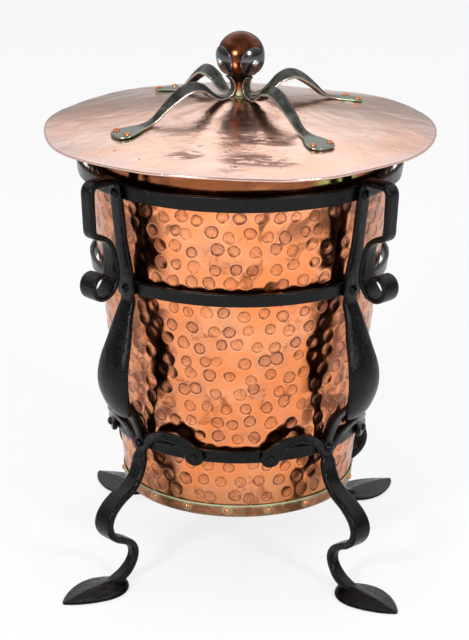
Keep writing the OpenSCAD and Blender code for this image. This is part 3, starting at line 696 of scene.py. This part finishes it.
def rivet_tree():
    tree = bpy.data.node_groups.new("rivet row", "GeometryNodeTree")
    face = tree.interface
    face.new_socket("Places", in_out="INPUT", socket_type="NodeSocketGeometry")
    for name, kind, value in (("Head width", "NodeSocketFloat", 0.01), ("Head height", "NodeSocketFloat", 0.004),
                              ("Unevenness", "NodeSocketFloat", 0.05), ("Seed", "NodeSocketInt", 3)):
        face.new_socket(name, in_out="INPUT", socket_type=kind).default_value = value
    face.new_socket("Finish", in_out="INPUT", socket_type="NodeSocketMaterial")
    face.new_socket("Rivets", in_out="OUTPUT", socket_type="NodeSocketGeometry")
    nodes, links = tree.nodes, tree.links

    def add(kind, settings=None, inputs=None):
        n = nodes.new(kind)
        for k, v in (settings or {}).items():
            setattr(n, k, v)
        for k, v in (inputs or {}).items():
            if isinstance(v, bpy.types.NodeSocket):
                links.new(v, n.inputs[k])
            else:
                n.inputs[k].default_value = v
        return n

    given = add("NodeGroupInput").outputs
    ball = add("GeometryNodeMeshUVSphere", None, {"Segments": 28, "Rings": 16, "Radius": 0.5})
    tall = add("ShaderNodeMath", {"operation": "MULTIPLY"}, {0: given["Head height"], 1: 2.0})
    size = add("ShaderNodeCombineXYZ", None, {0: given["Head width"], 1: given["Head width"], 2: tall.outputs[0]})
    shaped = add("GeometryNodeTransform", None, {"Geometry": ball.outputs["Mesh"], "Scale": size.outputs[0]})
    place = add("GeometryNodeInputPosition")
    parts = add("ShaderNodeSeparateXYZ", None, {0: place.outputs[0]})
    foot = add("ShaderNodeMath", {"operation": "MULTIPLY"}, {0: given["Head height"], 1: -0.12})
    flat = add("ShaderNodeMath", {"operation": "MAXIMUM"}, {0: parts.outputs[2], 1: foot.outputs[0]})
    put = add("ShaderNodeCombineXYZ", None, {0: parts.outputs[0], 1: parts.outputs[1], 2: flat.outputs[0]})
    domed = add("GeometryNodeSetPosition", None, {"Geometry": shaped.outputs[0], "Position": put.outputs[0]})
    aim = add("GeometryNodeInputNamedAttribute", {"data_type": "FLOAT_VECTOR"}, {"Name": "aim"})
    way = add("FunctionNodeAlignRotationToVector", {"axis": "Z"}, {"Vector": aim.outputs["Attribute"]})
    least = add("ShaderNodeMath", {"operation": "SUBTRACT"}, {0: 1.0, 1: given["Unevenness"]})
    most = add("ShaderNodeMath", {"operation": "ADD"}, {0: 1.0, 1: given["Unevenness"]})
    vary = add("FunctionNodeRandomValue", {"data_type": "FLOAT"})
    links.new(least.outputs[0], vary.inputs[2])
    links.new(most.outputs[0], vary.inputs[3])
    links.new(given["Seed"], vary.inputs["Seed"])
    row = add("GeometryNodeInstanceOnPoints", None, {"Points": given["Places"], "Instance": domed.outputs[0],
                                                     "Rotation": way.outputs[0], "Scale": vary.outputs[1]})
    real = add("GeometryNodeRealizeInstances", None, {0: row.outputs[0]})
    smooth = add("GeometryNodeSetShadeSmooth", None, {0: real.outputs[0]})
    done = add("GeometryNodeSetMaterial", None, {"Geometry": smooth.outputs[0], "Material": given["Finish"]})
    end = add("NodeGroupOutput")
    links.new(done.outputs[0], end.inputs[0])
    return tree


RIVET_TREE = rivet_tree()


def rivets(name, places, aims, width, height, finish, body, slot, *nodes):
    mesh = bpy.data.meshes.new(name)
    mesh.from_pydata((np.asarray(places, float) / 1000).tolist(), [], [])
    aim = mesh.attributes.new("aim", "FLOAT_VECTOR", "POINT")
    aim.data.foreach_set("vector", np.asarray(aims, np.float32).ravel())
    obj = bpy.data.objects.new(name, mesh)
    bpy.context.scene.collection.objects.link(obj)
    mod = obj.modifiers.new("rivets", "NODES")
    mod.node_group = RIVET_TREE
    ids = {s.name: s.identifier for s in RIVET_TREE.interface.items_tree if s.in_out == "INPUT"}
    for key, value in (("Head width", width / 1000), ("Head height", height / 1000), ("Finish", finish),
                       ("Unevenness", 0.06), ("Seed", len(places))):
        mod[ids[key]] = value
    settle(obj)
    obj.data.update()
    return dress(obj, body, slot, *nodes)


def on_cradle(z, lift, angle):
    """Place on the cradle's face and the way out of it."""
    tilt = math.atan(CRADLE_FLARE)
    p = np.array([cradle_r(z) + lift * math.cos(tilt), 0, z - lift * math.sin(tilt)])
    return turn(p, angle), turn(np.array([math.cos(tilt), 0, -math.sin(tilt)]), angle)


def row(spots):
    return [s[0] for s in spots], [s[1] for s in spots]


rivets("studs_top", *row([on_cradle(HOOP_TOP_Z, BAR_T, a) for a in CORNERS.values()]), 10.5, 4.2, IRON,
       "stand", "black_iron", "hoop_top_rivets")
rivets("studs_middle", *row([on_cradle(HOOP_MID_Z, BAR_T, a) for a in CORNERS.values()]), 10.5, 4.2, IRON,
       "stand", "black_iron", "hoop_middle_rivets")
rivets("studs_prong", *row([on_cradle(HOOP_LOW_Z, 6.2, a + LEG_TURN) for a in CORNERS.values()]), 10.5, 4.4, IRON,
       "stand", "black_iron", "prong_rivets")
DISC_SPOTS = [a + LEG_TURN + b for a in CORNERS.values() for b in (-DISC_A, DISC_A)]
rivets("studs_disc", *row([on_cradle(HOOP_LOW_Z, 6, a) for a in DISC_SPOTS]), 8.4, 3.2, IRON, "stand", "black_iron", "disc_rivets")


# Bucket

def bead_height():
    r = bin_r(LID_RIM_Z)
    slope = math.cos(math.atan(LID_SLOPE))
    return LID_APEX - LID_SLOPE * r - SHEET_T / slope - 2.8 / slope


def hammer_marks(low, high):
    """Places and sizes of round marks laid in uneven rows, as angle and height."""
    rng = np.random.default_rng(7)
    spots = []
    z, row_no = low + 6, 0
    while z < high - 3:
        count = int(round(2 * math.pi * bin_r(z) / 20.5))
        shift = rng.uniform(-0.2, 0.2)
        for i in range(count):
            a = (i + shift + 0.5 * (row_no % 2) + rng.normal(0, 0.12)) * 2 * math.pi / count
            spots.append((a, z + rng.normal(0, 2.1), rng.uniform(6.2, 7.6), rng.uniform(0.9, 1.3), rng.uniform()))
        z += 17.8
        row_no += 1
    return spots


def bucket_wall():
    low, high = BIN_LOW_Z + BASE_T, bead_height()
    rows, cols = 196, 448
    z = np.linspace(low, high, rows)
    a = np.arange(cols) * 2 * math.pi / cols
    zz, aa = np.meshgrid(z, a, indexing="ij")
    rr = bin_r(zz)
    marks = hammer_marks(low, 458)
    tree = kdtree.KDTree(len(marks))
    for i, (ma, mz, *_) in enumerate(marks):
        tree.insert((bin_r(mz) * math.cos(ma), bin_r(mz) * math.sin(ma), mz), i)
    tree.balance()
    dent = np.full(rr.shape, 3.0)
    tone = np.zeros(rr.shape)
    push = np.zeros(rr.shape)
    flat = np.stack([rr * np.cos(aa), rr * np.sin(aa), zz], -1)
    uneven = 1 + 0.22 * wobble(flat.reshape(-1, 3), 8, 6).reshape(rr.shape)
    for i in range(rows):
        for k in range(cols):
            near = tree.find_n(flat[i, k], 2)
            best = min(((d * uneven[i, k] / marks[n][2], n) for _, n, d in near))
            dent[i, k], tone[i, k] = best[0], marks[best[1]][4]
            m, u = marks[best[1]], best[0]
            push[i, k] = -m[3] * max(0.0, 1 - u ** 2.4)
    warp = wobble(flat.reshape(-1, 3), 45, 4).reshape(rr.shape) * 0.5
    fade = np.clip((zz - low) / 8, 0, 1) * np.clip((high - zz) / 20, 0, 1)
    rr = rr + push * fade + warp * fade - 0.25 * fade
    outer = np.stack([rr * np.cos(aa), rr * np.sin(aa), zz], -1)
    inner_z = np.linspace(high, low, 40)
    ir = bin_r(inner_z) - SHEET_T
    inner = np.stack([ir[:, None] * np.cos(a), ir[:, None] * np.sin(a),
                      np.broadcast_to(inner_z[:, None], (40, cols))], -1)
    rings = np.r_[outer, inner]
    points, faces = skin(rings, loop=True)
    extra = np.full((40, cols), 3.0)
    obj = make("wall_hammered", [(points, faces)], COPPER,
               {"dent": np.r_[dent, extra].ravel(), "tone": np.r_[tone, extra * 0 + 0.5].ravel()})
    dress(obj, "bucket", "hammered_copper", "bin_wall")


def base_spots():
    z = BIN_LOW_Z + BASE_H * 0.55
    tilt = math.atan(BIN_FLARE)
    out = []
    for i in range(18):
        a = -90 + 20 * (i + 0.5) + 5
        p = np.array([bin_r(z) + BASE_T + 0.1, 0, z])
        out.append((turn(p, a), turn(np.array([math.cos(tilt), 0, -math.sin(tilt)]), a)))
    return out


def base_pan():
    low, high = BIN_LOW_Z, BIN_LOW_Z + BASE_H
    side = round_corners([(0.01, low, 0.001), (bin_r(low) + BASE_T, low, 1.2), (bin_r(high) + BASE_T, high, 0.6),
                          (bin_r(high) + 0.05, high, 0.5), (bin_r(low + BASE_T) + 0.05, low + BASE_T, 0.6),
                          (0.01, low + BASE_T, 0.001)], 0.5, 3)
    fine = even(side, 1.6)
    points, faces = lathe(fine, 400, closed=False)
    away = np.stack([points[:, 0], points[:, 1], 0 * points[:, 2]], 1)
    r = np.linalg.norm(away, axis=1)[:, None]
    on_side = (r > bin_r(points[:, 2:]) + 0.6)
    points = points + away / r * wobble(points, 14, 8)[:, None] * 0.25 * on_side
    halo = np.zeros(len(points))
    for p, _ in base_spots():
        d = np.linalg.norm(points - p, axis=1)
        halo = np.maximum(halo, np.clip(1.35 - d / 4.6, 0, 1))
    dress(make("pan_base", [(points, faces)], PAN, {"halo": halo}), "bucket", "aged_copper", "bin_base")
    rivets("studs_base", *row(base_spots()), 6.6, 2.6, RIVET_COPPER, "bucket", "aged_copper", "base_rivets")


def mouth_bead():
    z = bead_height()
    a = np.radians(np.arange(0, 360, 20))
    section = np.stack([bin_r(z) - SHEET_T / 2 + 2.5 * np.cos(a), z + 2.5 * np.sin(a)], 1)
    dress(make("bead_mouth", [lathe(section, 240)], AGED), "bucket", "aged_copper", "bin_bead")


bucket_wall()
base_pan()
mouth_bead()


# Lid

def lid_wave(x, y, r):
    """The hand-worked unevenness of the lid, stronger towards its rim."""
    a = np.arctan2(y, x)
    k = (r / LID_R) ** 4
    return k * (1.3 * np.sin(3 * a + 0.6) + 0.9 * np.sin(5 * a - 1.1) + 0.5 * np.sin(8 * a + 2.0))


def lid_plate():
    steps = 420
    slope = math.cos(math.atan(LID_SLOPE))
    sheet = SHEET_T / slope
    top = [(r, lid_top(r)) for r in np.r_[0.01, np.linspace(4, 209.6, 104)]]
    rim = [(LID_R - 0.5, lid_top(LID_R - 0.5) - 0.15), (LID_R, lid_top(LID_R) - 0.9), (LID_R, LID_RIM_Z - sheet - 0.9),
           (LID_R - 0.6, LID_RIM_Z - sheet - 1.5), (LID_R - 2.4, LID_RIM_Z - sheet - 1.4),
           (LID_R - 3, LID_RIM_Z - sheet - 0.4)]
    under = [(r, lid_top(r) - sheet) for r in np.r_[np.linspace(206, 14, 30), 0.01]]
    points, faces = lathe(np.array(top + rim + under, float), steps, closed=False)
    r = np.linalg.norm(points[:, :2], axis=1)
    lift = lid_wave(points[:, 0], points[:, 1], r)
    lift += (wobble(points, 26, 3) * 0.45 + wobble(points, 11, 6) * 0.16) * np.clip((r - 16) / 20, 0, 1)
    points[:, 2] += lift - 0.25 * np.clip((r - 16) / 20, 0, 1)
    a = np.arctan2(points[:, 1], points[:, 0])
    grow = 1 + (r / LID_R) ** 6 * (0.0035 * np.sin(4 * a + 0.9) + 0.002 * np.sin(9 * a) - 0.004)
    points[:, :2] *= grow[:, None]
    dress(make("plate_lid", [(points, faces)], LID), "lid", "lid_copper", "lid_plate")


lid_plate()


# Octopus handle

def tent_at(r, h, t=3.0):
    return [r, lid_top(r) + h, t]


def tentacle(corner, angle):
    pad = [[r, lid_top(r) + 1.57, 3.0] for r in (128, 136, 148, 158.8)]
    line = flow([tent_at(16.4, 24.3, 1.8), tent_at(11.4, 18, 2.2), tent_at(9.4, 12, 2.4), tent_at(10.4, 6.6, 2.6),
                 tent_at(14.8, 2.9, 2.8), tent_at(22, 2.3), tent_at(30, 5.4), tent_at(38.5, 12.5), tent_at(48, 21.7),
                 tent_at(60, 27.7), tent_at(72, 27.8), tent_at(85, 22.4), tent_at(98, 14.2), tent_at(109, 5.9),
                 tent_at(118, 2.6)] + pad, 10)
    line = even(line, 1.5)
    line = line[:-1]
    along = np.linspace(0, 1, len(line))
    half = follow([[5, 4.5], [22, 4.5], [38, 8], [60, 10], [84, 8.6], [108, 6], [122, 7.2], [132, 11.2], [142, 15],
                   [150, 15.2], [156, 10.5], [159, 0.5]], line[:, 0])
    half[: len(line) // 3] = np.minimum(half[: len(line) // 3], 8)
    arch = np.interp(line[:, 0], [20, 34, 58, 84, 104, 120, 130], [0, 4, 8.5, 7, 3.4, 0.8, 0]) * (along > 0.12)
    d = np.gradient(line[:, :2], axis=0)
    d /= np.linalg.norm(d, axis=1)[:, None]
    up = np.stack([-d[:, 1], d[:, 0]], 1)
    rings, edge, run = [], [], []
    u = np.linspace(-1, 1, 15)
    for q, w, c, n, l in zip(line, half, arch, up, along):
        h = q[2] / 2
        s = np.r_[u * (w - 0.5), w, u[::-1] * (w - 0.5), -w]
        v = np.abs(np.clip(s / w, -1, 1))
        fall = c * (0.22 - v ** 1.4)
        t = np.r_[np.full(15, h), 0, np.full(15, -h), 0] * (1 - 0.35 * v ** 4) + fall
        rings.append(np.stack([q[0] + n[0] * t, s, q[1] + n[1] * t], 1))
        edge.append(v)
        run.append(np.full(len(v), l))
    points, faces = skin(np.array(rings))
    points = turn(points, angle + HANDLE_TURN)
    marks = {"edge": np.array(edge).ravel(), "along": np.array(run).ravel()}
    obj = make("tentacle_strip_" + corner, [(points, faces)], STRIP, marks)
    dress(obj, "lid", "tentacle_steel", "tentacle_" + corner)


for corner, angle in CORNERS.items():
    tentacle(corner, angle)


def pad_spots():
    tilt = math.atan(LID_SLOPE)
    out = []
    for a in CORNERS.values():
        for y in (-10.5, 10.5):
            p = np.array([148 + 3.1 * math.sin(tilt), y, lid_top(148) + 3.1 * math.cos(tilt)])
            way = np.array([math.sin(tilt), 0, math.cos(tilt)])
            out.append((turn(p, a + HANDLE_TURN), turn(way, a + HANDLE_TURN)))
    return out


rivets("studs_pad", *row(pad_spots()), 6.8, 2.7, RIVET_COPPER, "lid", "rivet_copper", "tentacle_rivets")


def head():
    neck = flow([[9.2, CROWN_Z + 2], [8.1, CROWN_Z + 7.1], [7.8, CROWN_Z + 12.6], [9.4, CROWN_Z + 17.8],
                 [12.8, BALL_Z - 22.6], [17.2, BALL_Z - 18.6]], 6)
    ball = [(BALL_R * math.cos(t), BALL_Z + BALL_R * math.sin(t)) for t in np.radians(np.linspace(-41, 89.9, 60))]
    outline = np.r_[[[0.01, CROWN_Z + 1.3], [8.8, CROWN_Z + 1.3]], neck, ball]
    points, faces = lathe(outline, 96, closed=False)
    d = points - [0, 0, BALL_Z]
    d /= np.linalg.norm(d, axis=1)[:, None]
    points += d * wobble(points, 11, 5)[:, None] * 0.14
    dress(make("head_bulb", [(points, faces)], HEAD), "lid", "dark_copper", "octopus_head")


def at_eye(points, side):
    """Turns points so that +Z looks out of the head at an eye."""
    tilt, spin = math.radians(90 + 9), -90 + HANDLE_TURN + side * 46
    x, z = points[:, 0].copy(), points[:, 2].copy()
    p = np.stack([x * math.cos(tilt) + z * math.sin(tilt), points[:, 1],
                  -x * math.sin(tilt) + z * math.cos(tilt)], 1)
    return turn(p, spin) + [0, 0, BALL_Z]


def eyes():
    reach = math.asin(15.8 / (BALL_R + 1.55))
    for name, side in (("left", -1), ("right", 1)):
        outer = [((BALL_R + 1.55) * math.sin(t), (BALL_R + 1.55) * math.cos(t))
                 for t in np.linspace(0.0004, reach - 0.03, 30)]
        rim = [((BALL_R + 1.3) * math.sin(reach), (BALL_R + 1.3) * math.cos(reach)),
               ((BALL_R + 0.6) * math.sin(reach + 0.012), (BALL_R + 0.6) * math.cos(reach + 0.012)),
               ((BALL_R + 0.05) * math.sin(reach - 0.01), (BALL_R + 0.05) * math.cos(reach - 0.01))]
        inner = [((BALL_R + 0.05) * math.sin(t), (BALL_R + 0.05) * math.cos(t))
                 for t in np.linspace(reach - 0.04, 0.0004, 12)]
        points, faces = lathe(np.array(outer + rim + inner), 72, closed=False)
        dress(make("eye_plate_" + name, [(at_eye(points, side), faces)], EYE), "lid", "bright_steel", "eye_" + name)
        top = BALL_R + 1.65
        stud = [(0.01, top - 0.3), (3.5, top - 0.3), (3.7, top + 0.3), (3.4, top + 0.75), (2.9, top + 0.8)]
        stud += [(2.75 * math.cos(t), top + 0.7 + 2.0 * math.sin(t)) for t in np.radians(np.linspace(8, 89.8, 12))]
        points, faces = lathe(np.array(stud), 40, closed=False)
        dress(make("pupil_stud_" + name, [(at_eye(points, side), faces)], STUD), "lid", "bright_steel", "pupil_" + name)


def neck_ring():
    low, high = CROWN_Z + 0.05, CROWN_Z + 1.3
    outline = round_corners([(3.3, low), (12.2, low), (12.2, high), (3.3, high)], 0.4, 3)
    points, faces = lathe(outline, 90)
    points = points * (1 + wobble(points, 3, 1)[:, None] * [0.03, 0.03, 0])
    points[:, 2] += np.abs(wobble(points, 2.2, 3)) * 0.5 * (points[:, 2] > CROWN_Z + 0.8)
    dress(make("ring_neck", [(points, faces)], CRUST), "lid", "verdigris_copper", "neck_washer")


head()
eyes()
neck_ring()

for node, finish in (("lid_skirt", AGED), ("handle_rod", PLAIN), ("rod_washer", PLAIN), ("rod_nut", PLAIN)):
    obj = frame["nodes"][node]
    obj.data.materials.clear()
    obj.data.materials.append(finish)


# Stage, light and camera

# The floor reaches this far each way and lies just below the feet, in metres
FLOOR_REACH, FLOOR_Z = 30, -0.0005


def stage():
    mesh = bpy.data.meshes.new("floor")
    corners = [(x * FLOOR_REACH, y * FLOOR_REACH, FLOOR_Z) for x, y in ((-1, -1), (1, -1), (1, 1), (-1, 1))]
    mesh.from_pydata(corners, [], [(0, 1, 2, 3)])
    floor = bpy.data.objects.new("floor", mesh)
    bpy.context.scene.collection.objects.link(floor)
    material = bpy.data.materials.new("pale floor")
    material.use_nodes = True
    tree = material.node_tree
    shader = next(n for n in tree.nodes if n.type == "BSDF_PRINCIPLED")
    shader.inputs["Base Color"].default_value = (0.9, 0.9, 0.9, 1)
    shader.inputs["Roughness"].default_value = 0.9
    shader.inputs["Specular IOR Level"].default_value = 0.1
    out = next(n for n in tree.nodes if n.type == "OUTPUT_MATERIAL")
    glow = tree.nodes.new("ShaderNodeEmission")
    ray = tree.nodes.new("ShaderNodeLightPath")
    share = tree.nodes.new("ShaderNodeMath")
    share.operation = "MULTIPLY"
    share.inputs[1].default_value = 0.72
    mix = tree.nodes.new("ShaderNodeMixShader")
    tree.links.new(ray.outputs["Is Camera Ray"], share.inputs[0])
    tree.links.new(share.outputs[0], mix.inputs[0])
    tree.links.new(shader.outputs[0], mix.inputs[1])
    tree.links.new(glow.outputs[0], mix.inputs[2])
    tree.links.new(mix.outputs[0], out.inputs[0])
    mesh.materials.append(material)


# How bright the room is from straight below (0) over level (0.5) to straight above (1)
ROOM = ((0.0, 0.35), (0.44, 0.28), (0.56, 0.2), (0.68, 0.62), (0.84, 1.0), (1.0, 0.6))
FRONT_SHARE, REAR_SHARE = 0.7, 1.5


def world():
    w = bpy.data.worlds.new("studio")
    bpy.context.scene.world = w
    w.use_nodes = True
    tree = w.node_tree
    add = tree.nodes.new
    back = next(n for n in tree.nodes if n.type == "BACKGROUND")
    way = add("ShaderNodeTexCoord")
    parts = add("ShaderNodeSeparateXYZ")
    tree.links.new(way.outputs["Generated"], parts.inputs[0])
    front = add("ShaderNodeValToRGB")
    ramp = front.color_ramp.elements
    while len(ramp) < len(ROOM):
        ramp.new(0.5)
    for stop, (at, level_there) in zip(ramp, ROOM):
        stop.position, stop.color = at, (level_there, level_there, level_there, 1)
    lift = add("ShaderNodeMapRange")
    lift.inputs[1].default_value, lift.inputs[2].default_value = -1.0, 1.0
    tree.links.new(parts.outputs[2], lift.inputs[0])
    tree.links.new(lift.outputs[0], front.inputs[0])
    ray = add("ShaderNodeLightPath")
    level = add("ShaderNodeMix")
    level.data_type = "FLOAT"
    tree.links.new(ray.outputs["Is Camera Ray"], level.inputs[0])
    rear = add("ShaderNodeMapRange")
    rear.interpolation_type = "SMOOTHSTEP"
    for k, v in ((1, -0.3), (2, 0.5), (3, FRONT_SHARE), (4, REAR_SHARE)):
        rear.inputs[k].default_value = v
    tree.links.new(parts.outputs[1], rear.inputs[0])
    both = add("ShaderNodeMath")
    both.operation = "MULTIPLY"
    tree.links.new(front.outputs[0], both.inputs[0])
    tree.links.new(rear.outputs[0], both.inputs[1])
    tree.links.new(both.outputs[0], level.inputs[2])
    level.inputs[3].default_value = 1.0
    tree.links.new(level.outputs[0], back.inputs["Strength"])
    back.inputs["Color"].default_value = (1, 1, 1, 1)


def lamp(name, place, target, size, power, colour=(1, 1, 1)):
    data = bpy.data.lights.new(name, "AREA")
    data.shape, data.size, data.energy, data.color = "DISK", size, power, colour
    obj = bpy.data.objects.new(name, data)
    obj.location = place
    obj.rotation_euler = (Vector(target) - Vector(place)).to_track_quat("-Z", "Y").to_euler()
    bpy.context.scene.collection.objects.link(obj)


def camera():
    up, aside, roll = (math.radians(v) for v in (19.44349, -0.125, 0.40216))
    f = Vector((math.sin(aside) * math.cos(up), math.cos(aside) * math.cos(up), -math.sin(up)))
    r = Vector((math.cos(aside), -math.sin(aside), 0))
    u = Vector((math.sin(aside) * math.sin(up), math.cos(aside) * math.sin(up), math.cos(up)))
    right = r * math.cos(roll) + u * math.sin(roll)
    top = u * math.cos(roll) - r * math.sin(roll)
    data = bpy.data.cameras.new("view")
    data.lens, data.sensor_width = 120.4976, 36
    obj = bpy.data.objects.new("view", data)
    basis = Matrix((right, top, -f)).transposed()
    obj.matrix_world = Matrix.Translation((-0.00003, -2.241167, 1.057146)) @ basis.to_4x4()
    bpy.context.scene.collection.objects.link(obj)
    bpy.context.scene.camera = obj


stage()
world()
lamp("left lamp", (-1.5, -2.4, 1.5), (0, 0, 0.3), 0.6, 52)
lamp("right lamp", (1.7, -2.1, 1.4), (0, 0, 0.3), 0.5, 34)
camera()
bpy.context.scene.view_settings.view_transform = "Standard"
